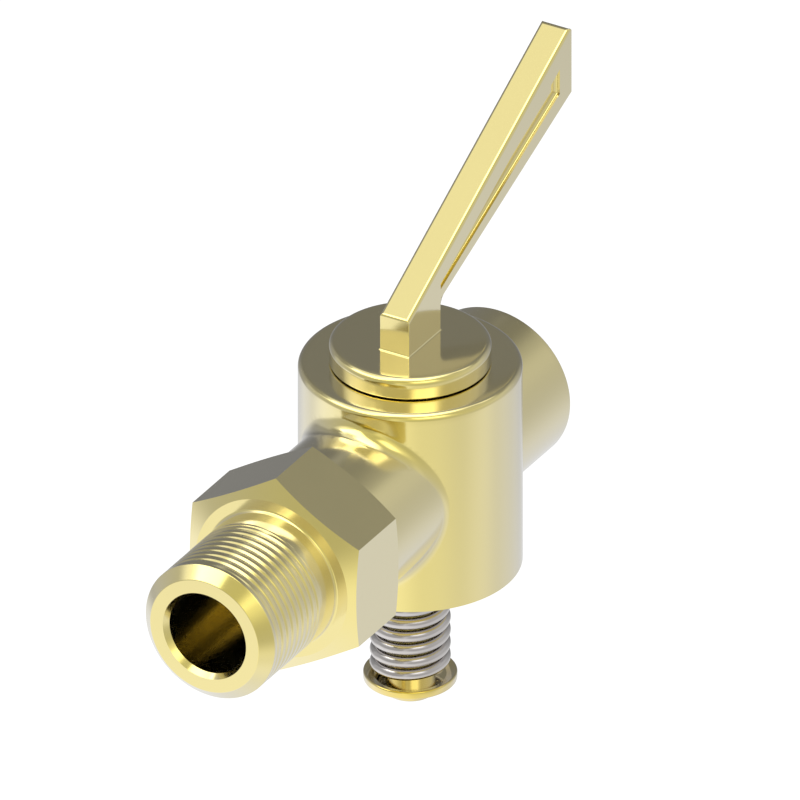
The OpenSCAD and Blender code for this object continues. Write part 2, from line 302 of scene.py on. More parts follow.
def mesh_object(name, bm):
    """Object in the scene from a closed bmesh, with its faces turned outwards."""
    bmesh.ops.recalc_face_normals(bm, faces=bm.faces)
    mesh = bpy.data.meshes.new(name)
    bm.to_mesh(mesh)
    bm.free()
    obj = bpy.data.objects.new(name, mesh)
    bpy.context.scene.collection.objects.link(obj)
    return obj


def bridge(bm, here, after):
    """Closes the band between two rings of vertices, of which one may be a single pole."""
    count = max(len(here), len(after))
    for k in range(count if count > 1 else 0):
        m = (k + 1) % count
        corners = [here[k % len(here)], here[m % len(here)],
                   after[m % len(after)], after[k % len(after)]]
        bm.faces.new(list(dict.fromkeys(corners)))


def lathe(name, outline, axis, segments=192):
    """Turned solid: the closed outline holds (along, out) points, out being the radius."""
    bm = bmesh.new()
    rings = []
    for along, out in outline:
        ring = []
        for k in range(segments if out > SAME else 1):
            a = 2 * math.pi * (k + 0.5) / segments
            side, up = out * math.cos(a), out * math.sin(a)
            ring.append(bm.verts.new((side, up, along) if axis == "Z" else (along, side, up)))
        rings.append(ring)
    for here, after in zip(rings, rings[1:] + rings[:1]):
        bridge(bm, here, after)
    return mesh_object(name, bm)


def prism(name, outline, axis, low, high):
    """Straight solid: the outline lies across axis Y or X and runs from low to high."""
    place = {
        "X": lambda p, d: (d, p[0], p[1]),
        "Y": lambda p, d: (p[0], d, p[1]),
    }[axis]
    bm = bmesh.new()
    ends = [[bm.verts.new(place(p, d)) for p in outline] for d in (low, high)]
    for end in ends:
        bm.faces.new(end)
    bridge(bm, *ends)
    return mesh_object(name, bm)


def applied(obj):
    """Turns an object's modifiers into its plain mesh."""
    graph = bpy.context.evaluated_depsgraph_get()
    mesh = bpy.data.meshes.new_from_object(obj.evaluated_get(graph))
    obj.modifiers.clear()
    old, obj.data = obj.data, mesh
    bpy.data.meshes.remove(old)
    mesh.name = obj.name
    return obj


def combined(obj, other, operation):
    """Joins, cuts or intersects obj with another closed solid, which is used up."""
    modifier = obj.modifiers.new("Combine", "BOOLEAN")
    modifier.operation = operation
    modifier.solver = "MANIFOLD"
    modifier.object = other
    applied(obj)
    bpy.data.objects.remove(other)
    if not obj.data.polygons:
        raise RuntimeError(f"{obj.name}: {operation.lower()} left no faces")
    return obj


def smoothed(obj, crease=14):
    """Shades obj smooth, with sharp edges past the crease angle and weighted normals."""
    mesh = obj.data
    mesh.polygons.foreach_set("use_smooth", [True] * len(mesh.polygons))
    mesh.set_sharp_from_angle(angle=math.radians(crease))
    modifier = obj.modifiers.new("Shade", "WEIGHTED_NORMAL")
    modifier.keep_sharp = True
    return applied(obj)


def dressed(obj, material):
    obj.data.materials.clear()
    obj.data.materials.append(material)
    return obj


# Node trees

def add_node(tree, kind, inputs=None, **settings):
    """Node with its settings and inputs; an input is a value or another node's socket."""
    node = tree.nodes.new(kind)
    for name, value in settings.items():
        setattr(node, name, value)
    for name, value in (inputs or {}).items():
        if isinstance(value, bpy.types.NodeSocket):
            tree.links.new(value, node.inputs[name])
        else:
            node.inputs[name].default_value = value
    return node


def calc(tree, operation, *values):
    """Output of a Math node."""
    return add_node(tree, "ShaderNodeMath", dict(enumerate(values)),
                    operation=operation).outputs[0]


def arithmetic(tree):
    """Functions that add, subtract, multiply and divide two values in one node tree."""
    return [partial(calc, tree, kind) for kind in ("ADD", "SUBTRACT", "MULTIPLY", "DIVIDE")]


def new_group(name, kind, inputs, outputs):
    """Node group; a socket is the name of a number, or its name and its kind."""
    tree = bpy.data.node_groups.new(name, kind)
    for in_out, sockets in (("INPUT", inputs), ("OUTPUT", outputs)):
        for socket in sockets:
            label, holds = (socket, "Float") if isinstance(socket, str) else socket
            tree.interface.new_socket(label, in_out=in_out, socket_type="NodeSocket" + holds)
    return tree, tree.nodes.new("NodeGroupInput").outputs, tree.nodes.new("NodeGroupOutput")


def finish_tree(tree, geometry, out, given):
    """Ends a Geometry Nodes tree in Realize Instances and Set Material."""
    real = add_node(tree, "GeometryNodeRealizeInstances", {"Geometry": geometry})
    paint = add_node(tree, "GeometryNodeSetMaterial",
                     {"Geometry": real.outputs[0], "Material": given["Material"]})
    tree.links.new(paint.outputs[0], out.inputs["Geometry"])


def grown(obj, tree, values):
    """Runs a Geometry Nodes tree on obj with its named inputs and keeps the plain mesh."""
    modifier = obj.modifiers.new(tree.name, "NODES")
    modifier.node_group = tree
    for item in tree.interface.items_tree:
        if item.in_out == "INPUT" and item.name in values:
            modifier[item.identifier] = values[item.name]
    return applied(obj)


def thread_tree():
    """Presses a right-handed helical groove into the vertices that lie at one radius."""
    tree, given, out = new_group("Pipe thread", "GeometryNodeTree", [
        ("Geometry", "Geometry"), "Pitch", "Crest radius", "Depth", "Groove share",
        "First", "Last", "Run-out", ("Material", "Material"),
    ], [("Geometry", "Geometry")])
    add, subtract, multiply, divide = arithmetic(tree)
    place = add_node(tree, "GeometryNodeInputPosition").outputs[0]
    part = add_node(tree, "ShaderNodeSeparateXYZ", {0: place}).outputs
    radius = calc(tree, "SQRT", add(multiply(part[1], part[1]), multiply(part[2], part[2])))
    turn = divide(calc(tree, "ARCTAN2", part[2], part[1]), 2 * math.pi)
    phase = calc(tree, "FRACT", subtract(divide(part[0], given["Pitch"]), turn))
    off = calc(tree, "ABSOLUTE", subtract(phase, 0.5))
    climb = calc(tree, "MINIMUM", divide(off, multiply(given["Groove share"], 0.5)), 1.0)
    wave = calc(tree, "COSINE", multiply(climb, math.pi))
    depth = multiply(given["Depth"], calc(tree, "MULTIPLY_ADD", wave, 0.5, 0.5))
    for edge, low in (("First", 0.0), ("Last", 1.0)):
        fade = add_node(tree, "ShaderNodeMapRange", {
            "Value": part[0], "From Min": subtract(given[edge], given["Run-out"]),
            "From Max": add(given[edge], given["Run-out"]), "To Min": low, "To Max": 1 - low,
        }, interpolation_type="SMOOTHSTEP").outputs[0]
        depth = multiply(depth, fade)
    on_crest = calc(tree, "COMPARE", radius, given["Crest radius"], SAME)
    pressed = divide(subtract(given["Crest radius"], depth), radius)
    scale = add(multiply(pressed, on_crest), subtract(1.0, on_crest))
    moved = add_node(tree, "ShaderNodeCombineXYZ", {
        0: part[0], 1: multiply(part[1], scale), 2: multiply(part[2], scale),
    }).outputs[0]
    shaped = add_node(tree, "GeometryNodeSetPosition",
                      {"Geometry": given["Geometry"], "Position": moved})
    finish_tree(tree, shaped.outputs[0], out, given)
    return tree


def coil_tree():
    """Sweeps a round wire along a helix: a bent lower end, open coils and a closed top."""
    tree, given, out = new_group("Wire coil", "GeometryNodeTree", [
        ("Geometry", "Geometry"), "Coil radius", "Wire radius", "Bottom", "Pitch",
        "End turns", "End slope", "Open turns", "Closed turns", "Closed pitch",
        "Start angle", ("Steps", "Int"), ("Sides", "Int"), ("Material", "Material"),
    ], [("Geometry", "Geometry")])
    add, subtract, multiply, _ = arithmetic(tree)
    turns = add(add(given["End turns"], given["Open turns"]), given["Closed turns"])
    line = add_node(tree, "GeometryNodeCurvePrimitiveLine", {"Start": (0, 0, 0), "End": (0, 0, 1)})
    path = add_node(tree, "GeometryNodeResampleCurve",
                    {"Curve": line.outputs[0], "Count": multiply(turns, given["Steps"])})
    at = multiply(add_node(tree, "GeometryNodeSplineParameter").outputs["Factor"], turns)
    steep = multiply(calc(tree, "MINIMUM", at, given["End turns"]),
                     multiply(given["End slope"], given["Pitch"]))
    after_end = calc(tree, "MAXIMUM", subtract(at, given["End turns"]), 0.0)
    opened = multiply(calc(tree, "MINIMUM", after_end, given["Open turns"]), given["Pitch"])
    after_open = calc(tree, "MAXIMUM", subtract(after_end, given["Open turns"]), 0.0)
    closed = multiply(after_open, given["Closed pitch"])
    turned = calc(tree, "MULTIPLY_ADD", at, 2 * math.pi, given["Start angle"])
    place = add_node(tree, "ShaderNodeCombineXYZ", {
        0: multiply(calc(tree, "COSINE", turned), given["Coil radius"]),
        1: multiply(calc(tree, "SINE", turned), given["Coil radius"]),
        2: add(add(given["Bottom"], steep), add(opened, closed)),
    }).outputs[0]
    helix = add_node(tree, "GeometryNodeSetPosition",
                     {"Geometry": path.outputs[0], "Position": place})
    upright = add_node(tree, "GeometryNodeSetCurveNormal", {"Curve": helix.outputs[0]},
                       mode="Z_UP")
    ring = add_node(tree, "GeometryNodeCurvePrimitiveCircle",
                    {"Resolution": given["Sides"], "Radius": given["Wire radius"]})
    wire = add_node(tree, "GeometryNodeCurveToMesh", {
        "Curve": upright.outputs[0], "Profile Curve": ring.outputs[0], "Fill Caps": True,
    })
    finish_tree(tree, wire.outputs[0], out, given)
    return tree


# Materials

def node_material(name):
    """New material with an empty node tree."""
    material = bpy.data.materials.new(name)
    material.use_nodes = True
    material.node_tree.nodes.clear()
    return material, material.node_tree


def finish_group():
    """Fine satin of machined metal: a faint cloud in the gloss and a faint grain."""
    tree, given, out = new_group("Satin metal", "ShaderNodeTree", [
        "Roughness", "Clouds", "Variation", "Grain",
    ], ["Roughness", "Height"])
    add, subtract, multiply, divide = arithmetic(tree)
    place = add_node(tree, "ShaderNodeTexCoord").outputs["Object"]
    cloud = add_node(tree, "ShaderNodeTexNoise",
                     {"Vector": place, "Scale": given["Clouds"], "Detail": 3.0}).outputs[0]
    grain = add_node(tree, "ShaderNodeTexNoise", {
        "Vector": place, "Scale": divide(1.0, given["Grain"]), "Detail": 2.0,
    }).outputs[0]
    factor = add(multiply(subtract(cloud, 0.5), given["Variation"]), 1.0)
    tree.links.new(multiply(given["Roughness"], factor), out.inputs["Roughness"])
    tree.links.new(grain, out.inputs["Height"])
    return tree


def metal(name, look, face, edge, roughness):
    """Polished metal whose tint pales towards the edge of the view, as brass does."""
    material, tree = node_material(name)
    group = bpy.data.node_groups.get("Satin metal") or finish_group()
    satin = add_node(tree, "ShaderNodeGroup", {
        "Roughness": roughness, "Clouds": look.clouds,
        "Variation": look.variation, "Grain": look.grain,
    }, node_tree=group)
    bump = add_node(tree, "ShaderNodeBump", {
        "Height": satin.outputs["Height"], "Strength": look.relief, "Distance": look.grain_depth,
    })
    shaders = [
        add_node(tree, "ShaderNodeBsdfPrincipled", {
            "Base Color": (*tint, 1), "Metallic": 1.0,
            "Roughness": satin.outputs["Roughness"], "Normal": bump.outputs[0],
        }).outputs[0]
        for tint in (face, edge)
    ]
    weight = add_node(tree, "ShaderNodeLayerWeight", {"Blend": 0.5}).outputs["Facing"]
    mix = add_node(tree, "ShaderNodeMixShader", {0: weight, 1: shaders[0], 2: shaders[1]})
    add_node(tree, "ShaderNodeOutputMaterial", {"Surface": mix.outputs[0]})
    return material


def finish_of(context, slot):
    """Material for one of the metal slots, made once beside the plain one of that name."""
    name = slot + "_finish"
    ready = bpy.data.materials.get(name)
    if ready:
        return ready
    look = context.scene.valve_finish
    recipes = {
        "cast_brass": (look.brass, look.brass_edge, look.body_gloss),
        "key_brass": (look.brass, look.brass_edge, look.key_gloss),
        "lever_brass": (look.brass, look.brass_edge, look.key_gloss),
        "washer_brass": (look.gold, look.brass_edge, look.body_gloss),
        "retainer_brass": (look.gold, look.brass_edge, look.key_gloss),
        "screw_brass": (look.gold, look.brass_edge, look.body_gloss),
        "spring_steel": (look.steel, look.steel_edge, look.steel_gloss),
    }
    return metal(name, look, *recipes[slot])


# Pieces

def blend_sweep(name, sizes, side):
    """Solid of the cast blend: a ball rolls round the boss and touches the barrel as well."""
    stations, steps = 192, 14
    radius, dip = sizes.blend_radius, sizes.blend_dip
    to_key = BARREL_RADIUS + radius - dip
    to_flow = sizes.boss_radius + radius - dip
    bm = bmesh.new()
    rings = []
    for i in range(stations):
        a = 2 * math.pi * i / stations
        across = to_flow * math.cos(a)
        centre = Vector((math.sqrt(to_key ** 2 - across ** 2), across, to_flow * math.sin(a)))
        to_barrel = -Vector((centre.x, centre.y, 0)) / to_key
        to_boss = Vector((0, -math.cos(a), -math.sin(a)))
        section = [centre + (radius + OVER) * (to_barrel + to_boss)]
        section += arc(centre, radius * to_barrel, radius * to_boss, steps)
        rings.append([bm.verts.new((p.x * side, p.y, p.z)) for p in section])
    for here, after in zip(rings, rings[1:] + rings[:1]):
        bridge(bm, here, after)
    return mesh_object(name, bm)


def wrench_hexagon(sizes):
    """Hexagonal bar with a bevelled ring on both ends, its corners up and down."""
    corner = sizes.hex_across / 2 / math.cos(math.pi / 6)
    bevel = (corner - sizes.hex_ring) * math.tan(sizes.hex_bevel)
    low, high = -sizes.hex_inner - sizes.hex_length, -sizes.hex_inner
    outline = [(corner * math.sin(math.radians(60 * k)), corner * math.cos(math.radians(60 * k)))
               for k in range(6)]
    bar = prism("hexagon", outline, "X", low, high)
    past = corner + OVER
    cone = lathe("bevels", densified(rounded([
        (low, 0, 0), (low, sizes.hex_ring, 0), (low + bevel, corner, 0),
        (low + bevel, past, 0), (high - bevel, past, 0), (high - bevel, corner, 0),
        (high, sizes.hex_ring, 0), (high, 0, 0),
    ]), 4 * ROW), "X", 256)
    return combined(bar, cone, "INTERSECT")


class VALVE_OT_casting(Operator):
    """Makes the cast body: barrel, bosses, blends, hexagon, waterway and socket"""

    bl_idname = "drain_valve.casting"
    bl_label = "Cast body"

    def execute(self, context):
        s = context.scene.valve_casting
        barrel = lathe("casting", densified(rounded([
            (-BARREL_TOP, 0, 0), (-BARREL_TOP, BARREL_RADIUS, 0),
            (BARREL_TOP, BARREL_RADIUS, s.barrel_rim), (BARREL_TOP, 0, 0),
        ], 14), ROW), "Z", 360)
        boss_end = -s.hex_inner - OVER
        bosses = lathe("bosses", densified(rounded([
            (boss_end, 0, 0), (boss_end, s.boss_radius, 0),
            (SOCKET_FACE, s.boss_radius, s.boss_rim), (SOCKET_FACE, 0, 0),
        ]), ROW), "X", 300)
        casting = combined(barrel, bosses, "UNION")
        for side in (-1, 1):
            casting = combined(casting, blend_sweep("blend", s, side), "UNION")
        casting = combined(casting, wrench_hexagon(s), "UNION")
        past = BARREL_TOP + OVER
        rise = (s.seat_large - s.seat_small) / (2 * BARREL_TOP) * OVER
        seat = lathe("seat", rounded([
            (-past, 0, 0), (-past, s.seat_small - rise, 0),
            (past, s.seat_large + rise, 0), (past, 0, 0),
        ]), "Z")
        casting = combined(casting, seat, "DIFFERENCE")
        start, face = boss_end - s.hex_length, SOCKET_FACE - s.socket_depth
        cut = lathe("waterway", densified(rounded([
            (start, 0, 0), (start, s.bore_radius, 0),
            (face, s.bore_radius, 0), (face, s.socket_wall, 0),
            (SOCKET_FACE + OVER, s.socket_wall, 0), (SOCKET_FACE + OVER, 0, 0),
        ]), 3 * ROW), "X")
        casting = smoothed(combined(casting, cut, "DIFFERENCE"))
        dressed(casting, finish_of(context, "cast_brass"))
        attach(casting, "valve_body")
        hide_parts("body")
        return {"FINISHED"}


class VALVE_OT_threads(Operator):
    """Makes the threaded pipe end and the threaded ring in the socket"""

    bl_idname = "drain_valve.threads"
    bl_label = "Pipe threads"

    def execute(self, context):
        body, s = context.scene.valve_casting, context.scene.valve_thread
        tree = bpy.data.node_groups.get("Pipe thread") or thread_tree()
        material = finish_of(context, "cast_brass")
        row = 0.08 * MM
        hex_face = -body.hex_inner - body.hex_length
        fillet_radius = s.crest_radius + s.root_fillet
        pipe = lathe("pipe_thread", densified(rounded([
            (hex_face + OVER, body.bore_radius + OVER, 0),
            (hex_face + OVER, s.crest_radius - OVER, 0),
            (hex_face + 5 * SAME, s.crest_radius - OVER / 2, 0),
            (hex_face + 2 * SAME, fillet_radius, 0), (hex_face - SAME, fillet_radius, 0),
            (hex_face - SAME, s.crest_radius, s.root_fillet),
            (INLET_FACE + s.end_bevel, s.crest_radius, s.end_round),
            (INLET_FACE, s.face_radius, s.end_round),
            (INLET_FACE, s.mouth_radius, 0),
            (INLET_FACE + s.mouth_depth, body.bore_radius, 0),
            (hex_face, body.bore_radius, 0),
        ], 8), row, s.face_radius), "X")
        grown(pipe, tree, {
            "Pitch": s.pitch, "Crest radius": s.crest_radius, "Depth": s.groove_depth,
            "Groove share": s.groove_share, "First": INLET_FACE + s.first_groove,
            "Last": INLET_FACE + s.last_groove, "Run-out": s.run_out / 2,
            "Material": material,
        })
        ring_end = SOCKET_FACE - body.socket_depth
        ring = lathe("socket_thread", densified(rounded([
            (ring_end, body.socket_wall, 0), (ring_end, s.socket_radius, 0),
            (SOCKET_FACE - s.socket_mouth, s.socket_radius, 0),
            (SOCKET_FACE, body.socket_wall, 0),
        ]), row * 2), "X")
        grown(ring, tree, {
            "Pitch": s.pitch, "Crest radius": s.socket_radius, "Depth": -s.socket_groove,
            "Groove share": s.socket_share, "First": ring_end + s.run_out,
            "Last": SOCKET_FACE + s.run_out, "Run-out": s.run_out / 2,
            "Material": material,
        })
        for piece in (pipe, ring):
            smoothed(piece, 24)
            dressed(piece, material)
            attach(piece, "valve_body")
        return {"FINISHED"}


class VALVE_OT_key(Operator):
    """Makes the tapered key with its head, stem and port"""

    bl_idname = "drain_valve.key"
    bl_label = "Key"

    def execute(self, context):
        s = context.scene.valve_key
        head_foot = HEAD_TOP - s.head_height
        foot = -BARREL_TOP + s.foot_up
        key = lathe("ground_key", densified(rounded([
            (DISH_FLOOR, 0, 0), (DISH_FLOOR, s.stem_radius, 0), (foot, s.stem_radius, 0),
            (foot, s.foot_radius, 0), (BARREL_TOP - s.neck_down, s.top_radius, 0),
            (BARREL_TOP - s.neck_down, s.neck_radius, 0), (head_foot, s.neck_radius, 0),
            (head_foot, HEAD_RADIUS, s.head_edge),
            (HEAD_TOP, HEAD_RADIUS, s.head_rim), (HEAD_TOP, 0, 0),
        ], 14), ROW), "Z", 256)
        reach, bore = HEAD_RADIUS, context.scene.valve_casting.bore_radius
        port = lathe("port", rounded([(-reach, 0, 0), (-reach, bore, 0),
                                      (reach, bore, 0), (reach, 0, 0)]), "X")
        key = smoothed(combined(key, port, "DIFFERENCE"))
        dressed(key, finish_of(context, "key_brass"))
        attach(key, "key_set")
        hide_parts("key")
        return {"FINISHED"}


class VALVE_OT_lever(Operator):
    """Makes the lever with its neck, recesses and foot fillet"""

    bl_idname = "drain_valve.lever"
    bl_label = "Lever"

    def execute(self, context):
        s = context.scene.valve_lever
        lever = self.blank(s)
        for side in (-1, 1):
            lever = combined(lever, self.recess(s, side), "DIFFERENCE")
        smoothed(lever)
        dressed(lever, finish_of(context, "lever_brass"))
        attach(lever, "key_set")
        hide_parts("lever")
        return {"FINISHED"}

    @staticmethod
    def top(s, x):
        return HEAD_TOP + s.knee_up + (x + s.neck_half) * math.tan(s.top_slope)

    @staticmethod
    def under(s, x):
        return HEAD_TOP + s.throat_up + (x - s.neck_half) * math.tan(s.under_slope)

    def blank(self, s):
        """Lever without its recesses: an outline as thick as the lever, on a thin foot."""
        half, low = s.thickness / 2, HEAD_TOP - s.foot_sunk
        outline = [
            (-s.neck_half, low), (-s.neck_half, self.top(s, -s.neck_half)),
            (LEVER_TIP, self.top(s, LEVER_TIP)), (LEVER_TIP, self.under(s, LEVER_TIP)),
            (s.neck_half, HEAD_TOP + s.throat_up), (s.neck_half, low),
        ]
        bm = bmesh.new()
        sides = [[bm.verts.new((x, y, z)) for x, z in outline] for y in (-half, half)]
        for side in sides:
            bm.faces.new(side)
        for k in range(len(outline) - 1):
            bm.faces.new([sides[0][k], sides[0][k + 1], sides[1][k + 1], sides[1][k]])
        rings = [[sides[0][0], sides[0][-1], sides[1][-1], sides[1][0]]]
        for drop in (0, s.foot_sheet):
            rings.append([
                bm.verts.new((v.co.x + math.copysign(s.foot_spread, v.co.x),
                              v.co.y + math.copysign(s.foot_spread, v.co.y), low - drop))
                for v in rings[0]
            ])
        for inner, outer in zip(rings, rings[1:]):
            bridge(bm, inner, outer)
        bm.faces.new(rings[-1])
        lever = mesh_object("lever_handle", bm)
        self.bevel(lever, s, len(outline))
        return lever

    @staticmethod
    def bevel(lever, s, corners):
        """Rounds each edge by its own radius; a bevel's width is the edge's tangent length."""
        front_foot, knee, tip, _, throat, back_foot = range(corners)
        quarter = math.radians(45)
        widest = s.throat_round / math.tan(quarter + s.under_slope / 2)
        widths = {
            (knee, knee): s.edge_round / math.tan(quarter + s.top_slope / 2),
            (tip, tip): s.tip_round / math.tan(quarter - s.top_slope / 2),
            (throat, throat): widest,
            (knee, tip): s.edge_round,
            (front_foot, front_foot): s.foot_fillet,
            (back_foot, back_foot): s.foot_fillet,
            (front_foot, back_foot): s.foot_fillet,
        }
        weights = lever.data.attributes.new("bevel_weight_edge", "FLOAT", "EDGE")
        for edge in lever.data.edges:
            if max(edge.vertices) < 2 * corners:
                ends = tuple(sorted(i % corners for i in edge.vertices))
                weights.data[edge.index].value = widths.get(ends, s.side_round) / widest
        modifier = lever.modifiers.new("Rounds", "BEVEL")
        modifier.limit_method = "WEIGHT"
        modifier.width = widest
        modifier.segments = 8
        modifier.use_clamp_overlap = False
        applied(lever)

    def recess(self, s, side):
        """Cutter for one recess: a blunt wedge with a fillet along its lower and tip walls."""
        wide = LEVER_TIP - s.tip_wall
        start = Vector((s.neck_half, self.under(s, s.neck_half) + s.recess_up))
        lower = Vector((wide, self.under(s, wide) + s.lower_rail))
        upper = Vector((wide, self.top(s, wide) - s.upper_rail))
        blunt = start + Vector((0, s.recess_end))
        low_slope = (lower.y - start.y) / (lower.x - start.x)
        high_slope = (upper.y - blunt.y) / (upper.x - blunt.x)
        raised = math.sqrt(1 + low_slope ** 2)
        floor, steps = s.thickness / 2 - s.recess_depth, 10
        bm = bmesh.new()
        rings = []
        for k in range(steps + 2):
            turn = math.radians(90) * min(k, steps) / steps
            inset = s.floor_fillet * (1 - math.sin(turn))
            height = s.floor_fillet * (1 - math.cos(turn)) + (OVER if k > steps else 0)
            corners = [
                start + inset * Vector((0, raised)),
                lower + inset * Vector((-1, raised - low_slope)),
                upper - inset * Vector((1, high_slope)), blunt,
            ]
            rings.append([bm.verts.new((x, side * (floor + height), z)) for x, z in corners])
        for here, after in zip(rings, rings[1:]):
            bridge(bm, here, after)
        bm.faces.new(rings[0])
        bm.faces.new(rings[-1])
        return mesh_object("recess", bm)


class VALVE_OT_spring_set(Operator):
    """Makes the thrust washer, the spring, its dish and the retaining screw"""

    bl_idname = "drain_valve.spring_set"
    bl_label = "Spring set"

    def execute(self, context):
        s = context.scene.valve_spring
        self.washer(context, s)
        self.spring(context, s)
        self.dish(context, s)
        self.screw(context, s)
        return {"FINISHED"}

    @staticmethod
    def washer(context, s):
        low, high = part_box("thrust_washer")
        stem = context.scene.valve_key.stem_radius + s.edge
        washer = lathe("spring_thrust_washer", rounded([
            (low.z, stem, s.edge), (low.z, high.x, s.edge),
            (high.z, high.x, s.edge), (high.z, stem, s.edge),
        ], 6), "Z")
        dressed(smoothed(washer, 24), finish_of(context, "washer_brass"))
        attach(washer, "valve_body")
        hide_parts("thrust_washer")

    @staticmethod
    def spring(context, s):
        low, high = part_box("spring")
        coil_radius = high.x - s.wire_radius
        bottom, top = low.z + s.wire_radius, high.z - s.wire_radius
        closed_pitch = 2 * s.wire_radius + s.gap
        rise = s.end_turns * s.end_slope * s.pitch + s.closed_turns * closed_pitch
        spring = mesh_object("spring_wire", bmesh.new())
        grown(spring, coil_tree(), {
            "Coil radius": coil_radius, "Wire radius": s.wire_radius, "Bottom": bottom,
            "Pitch": s.pitch, "End turns": s.end_turns, "End slope": s.end_slope,
            "Open turns": (top - bottom - rise) / s.pitch, "Closed turns": s.closed_turns,
            "Closed pitch": closed_pitch, "Start angle": s.end_at, "Steps": s.steps,
            "Sides": s.sides, "Material": finish_of(context, "spring_steel"),
        })
        spring.data.polygons.foreach_set("use_smooth", [True] * len(spring.data.polygons))
        spring.data.set_sharp_from_angle(angle=math.radians(40))
        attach(spring, "valve_body")
        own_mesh(spring)
        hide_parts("spring")

    @staticmethod
    def dish(context, s):
        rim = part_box("spring_retainer")[1].x
        top, hole = DISH_FLOOR + s.dish_depth, s.screw_radius + s.screw_gap
        dish = lathe("spring_dish", rounded([
            (DISH_FLOOR, hole, 0), (DISH_FLOOR, s.floor_radius, s.edge),
            (top, rim, s.edge), (top - s.rim_height, rim, s.edge),
            (DISH_FLOOR - s.dish_thickness, s.floor_radius, s.edge),
            (DISH_FLOOR - s.dish_thickness, hole, 0),
        ], 6), "Z")
        dressed(smoothed(dish, 24), finish_of(context, "retainer_brass"))
        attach(dish, "key_set")
        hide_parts("spring_retainer")

    @staticmethod
    def screw(context, s):
        low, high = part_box("retaining_screw")
        seat = DISH_FLOOR - s.dish_thickness
        screw = lathe("dish_screw", rounded([
            (low.z, 0, 0), (low.z, high.x, s.screw_round), (seat, high.x, s.screw_edge),
            (seat, s.screw_radius, 0), (high.z, s.screw_radius, 0), (high.z, 0, 0),
        ], 8), "Z", 128)
        half = s.slot_width / 2
        groove = prism("slot", [
            (-half, low.z - OVER), (half, low.z - OVER),
            (half, low.z + s.slot_depth), (-half, low.z + s.slot_depth),
        ], "Y", -high.x - OVER, high.x + OVER)
        screw = smoothed(combined(screw, groove, "DIFFERENCE"))
        dressed(screw, finish_of(context, "screw_brass"))
        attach(screw, "key_set")
        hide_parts("retaining_screw")


# Stage

def direction(azimuth, elevation):
    """Unit vector at an azimuth round +Z from +X and an elevation, both in degrees."""
    a, e = math.radians(azimuth), math.radians(elevation)
    return Vector((math.cos(a) * math.cos(e), math.sin(a) * math.cos(e), math.sin(e)))


def panel_group():
    """Soft-edged panel on the tent: blends its own level into the level behind it."""
    tree, given, out = new_group("Soft panel", "ShaderNodeTree", [
        "Behind", "Level", ("Facing", "Vector"), ("Centre", "Vector"), ("Side", "Vector"),
        ("Up", "Vector"), "Half width", "Half height", "Softness",
    ], ["Level"])

    add, subtract, multiply, _ = arithmetic(tree)

    def part(axis):
        return add_node(tree, "ShaderNodeVectorMath",
                        {0: given["Facing"], 1: given[axis]}, operation="DOT_PRODUCT").outputs["Value"]

    swing = calc(tree, "ARCTAN2", part("Side"), part("Centre"))
    lift = calc(tree, "ARCSINE", part("Up"))
    step = subtract(given["Level"], given["Behind"])
    for turn, half in ((swing, "Half width"), (lift, "Half height")):
        edge = add_node(tree, "ShaderNodeMapRange", {
            "Value": calc(tree, "ABSOLUTE", turn), "From Min": add(given[half], given["Softness"]),
            "From Max": subtract(given[half], given["Softness"]),
        }, interpolation_type="SMOOTHSTEP").outputs[0]
        step = multiply(step, edge)
    tree.links.new(add(given["Behind"], step), out.inputs["Level"])
    return tree


# Panels of the tent: azimuth, elevation, half width, half height, softness in degrees, level
TENT_LEVEL = 1.2
TENT_PANELS = {
    "floor card": (0, -90, 35, 35, 12, 0.9),
    "left wall": (181, 54, 31, 33.5, 12, 0.62),
    "front overhead": (-139, 84, 52, 19, 3, 2.8),
    "left front grey": (-125, -7, 41, 23, 18, 0.59),
    "front grey": (-67, -7, 41, 31, 20, 0.63),
    "front upper grey": (-74, 44, 30, 26, 10, 0.63),
    "right grey": (-18, 3, 21, 40, 19, 0.44),
    "right upper flag": (-11, 50, 23, 15, 7, 0.32),
    "back upper flag": (70, 32, 27, 34, 6, 0.26),
    "back grey": (80, 6, 29, 34, 20, 0.35),
    "left back grey": (139, 0, 52, 25, 5, 0.54),
    "ceiling strip": (30, 72, 40, 6, 3, 1.06),
    "right flag": (26.5, 5, 37, 40, 11.5, 0.2),
    "front low card": (-110, -55, 50, 24, 12, 0.88),
    "right low card": (-12, -54, 44, 30, 15, 0.74),
    "back low card": (85, -50, 41, 21.5, 20, 0.87),
    "left low card": (155, -50, 45, 26, 10, 1.05),
    "back key": (141, 53, 22, 14, 3, 2.8),
    "left key": (-130, 36, 14, 9, 6, 1.9),
    "lever card": (93, 64, 16, 11, 6, 0.98),
}


def tent_material():
    """Glow of the tent, panel after panel."""
    material, tree = node_material("tent")
    group = panel_group()
    place = add_node(tree, "ShaderNodeTexCoord").outputs["Object"]
    facing = add_node(tree, "ShaderNodeVectorMath", {0: place}, operation="NORMALIZE").outputs[0]
    level = TENT_LEVEL
    for name, (azimuth, elevation, width, height, softness, glow) in TENT_PANELS.items():
        level = add_node(tree, "ShaderNodeGroup", {
            "Behind": level, "Level": glow, "Facing": facing,
            "Centre": direction(azimuth, elevation), "Side": direction(azimuth + 90, 0),
            "Up": direction(azimuth, elevation + 90), "Half width": math.radians(width),
            "Half height": math.radians(height), "Softness": math.radians(softness),
        }, node_tree=group, label=name).outputs[0]
    glow = add_node(tree, "ShaderNodeEmission", {"Strength": level})
    add_node(tree, "ShaderNodeOutputMaterial", {"Surface": glow.outputs[0]})
    material.cycles.emission_sampling = "NONE"
    return material


